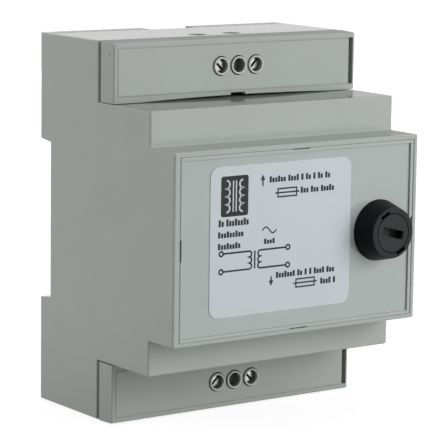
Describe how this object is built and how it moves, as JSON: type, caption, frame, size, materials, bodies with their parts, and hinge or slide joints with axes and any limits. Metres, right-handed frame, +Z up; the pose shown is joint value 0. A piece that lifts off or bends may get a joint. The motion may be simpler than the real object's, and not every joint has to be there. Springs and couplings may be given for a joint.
{
  "type": "din rail transformer",
  "caption": "Stepped grey housing that clips onto a 35 mm rail, with a laminated transformer inside, screw terminals under covers above and below, and a fuse holder in the front panel.",
  "frame": {"origin": "middle of the rail seat, where the rail's flanges bear", "axes": "X along the rail, -Y towards the user, +Y into the rail and the wall, +Z up"},
  "size_m": [0.071, 0.0632, 0.0908],
  "materials": {
    "housing_grey": "fine satin moulding",
    "base_grey": "fine satin moulding",
    "clip_grey": "satin moulding",
    "panel_grey": "fine satin moulding",
    "cover_grey": "fine satin moulding",
    "label_film": "printed film",
    "terminal_grey": "moulded",
    "screw_nickel": "nickel plated",
    "cage_steel": "zinc plated",
    "contact_brass": "tinned brass",
    "board_laminate": "coated laminate",
    "holder_black": "moulded thermoset",
    "nut_black": "moulded",
    "carrier_black": "moulded thermoset",
    "fuse_glass": "clear",
    "cap_nickel": "nickel plated",
    "fuse_wire": "drawn",
    "spring_steel": "drawn",
    "core_steel": "varnished laminations",
    "screw_zinc": "zinc plated",
    "bobbin_white": "moulded",
    "winding_tape": "polyester tape",
    "winding_wire": "enamelled wire",
    "cutout_black": "moulded",
    "lead_brown": "insulated lead",
    "lead_white": "insulated lead"
  },
  "bodies": {
    "base": {"housing": "housing_grey", "rear_base": "base_grey", "clip_spring": "spring_steel", "front_panel": "panel_grey", "rating_label": "label_film", "upper_terminal_cover": "cover_grey", "lower_terminal_cover": "cover_grey", "upper_terminal_block": "terminal_grey", "lower_terminal_block": "terminal_grey", "upper_contacts": "contact_brass", "lower_contacts": "contact_brass", "upper_terminal_board": "board_laminate", "lower_terminal_board": "board_laminate", "fuse_holder": "holder_black", "fuse_holder_nut": "nut_black", "fuse_side_contact": "contact_brass", "fuse_tail_contact": "contact_brass", "laminated_core": "core_steel", "core_screws": "screw_zinc", "bobbin": "bobbin_white", "primary_winding": "winding_tape", "secondary_winding": "winding_wire", "thermal_cutout": "cutout_black", "primary_leads": "lead_brown", "secondary_leads": "lead_white"},
    "clip": {"din_clip": "clip_grey"},
    "fuse_carrier": {"fuse_carrier": "carrier_black", "fuse_glass": "fuse_glass", "fuse_end_caps": "cap_nickel", "fuse_wire": "fuse_wire"},
    "upper_left_screw": {"upper_left_screw": "screw_nickel"},
    "upper_left_cage": {"upper_left_cage": "cage_steel"},
    "upper_right_screw": {"upper_right_screw": "screw_nickel"},
    "upper_right_cage": {"upper_right_cage": "cage_steel"},
    "lower_left_screw": {"lower_left_screw": "screw_nickel"},
    "lower_left_cage": {"lower_left_cage": "cage_steel"},
    "lower_right_screw": {"lower_right_screw": "screw_nickel"},
    "lower_right_cage": {"lower_right_cage": "cage_steel"}
  },
  "joints": [
    {"name": "clip_slide", "type": "slide", "parent": "base", "child": "clip", "axis": [0, 0, -1], "range_m": [0, 0.003], "stiffness_N_per_m": 1500, "springref_m": -0.002, "deforming": ["clip_spring"]},
    {"name": "fuse_carrier_turn", "type": "hinge", "parent": "base", "child": "fuse_carrier", "pos_m": [0.0241, -0.055, 0], "axis": [0, -1, 0], "range_deg": [0, 90]},
    {"name": "upper_left_screw_turn", "type": "hinge", "parent": "base", "child": "upper_left_screw", "pos_m": [-0.00508, -0.026, 0.0386], "axis": [0, 1, 0], "range_deg": [0, 1440]},
    {"name": "upper_left_cage_slide", "type": "slide", "parent": "base", "child": "upper_left_cage", "axis": [0, -1, 0], "range_m": [0, 0.002]},
    {"name": "upper_right_screw_turn", "type": "hinge", "parent": "base", "child": "upper_right_screw", "pos_m": [0.00508, -0.026, 0.0386], "axis": [0, 1, 0], "range_deg": [0, 1440]},
    {"name": "upper_right_cage_slide", "type": "slide", "parent": "base", "child": "upper_right_cage", "axis": [0, -1, 0], "range_m": [0, 0.002]},
    {"name": "lower_left_screw_turn", "type": "hinge", "parent": "base", "child": "lower_left_screw", "pos_m": [-0.00508, -0.026, -0.0386], "axis": [0, 1, 0], "range_deg": [0, 1440]},
    {"name": "lower_left_cage_slide", "type": "slide", "parent": "base", "child": "lower_left_cage", "axis": [0, -1, 0], "range_m": [0, 0.002]},
    {"name": "lower_right_screw_turn", "type": "hinge", "parent": "base", "child": "lower_right_screw", "pos_m": [0.00508, -0.026, -0.0386], "axis": [0, 1, 0], "range_deg": [0, 1440]},
    {"name": "lower_right_cage_slide", "type": "slide", "parent": "base", "child": "lower_right_cage", "axis": [0, -1, 0], "range_m": [0, 0.002]}
  ],
  "couplings": [
    {"joint": "upper_left_screw_turn", "follows": "upper_left_cage_slide", "rad_per_m": 12566},
    {"joint": "upper_right_screw_turn", "follows": "upper_right_cage_slide", "rad_per_m": 12566},
    {"joint": "lower_left_screw_turn", "follows": "lower_left_cage_slide", "rad_per_m": 12566},
    {"joint": "lower_right_screw_turn", "follows": "lower_right_cage_slide", "rad_per_m": 12566}
  ]
}
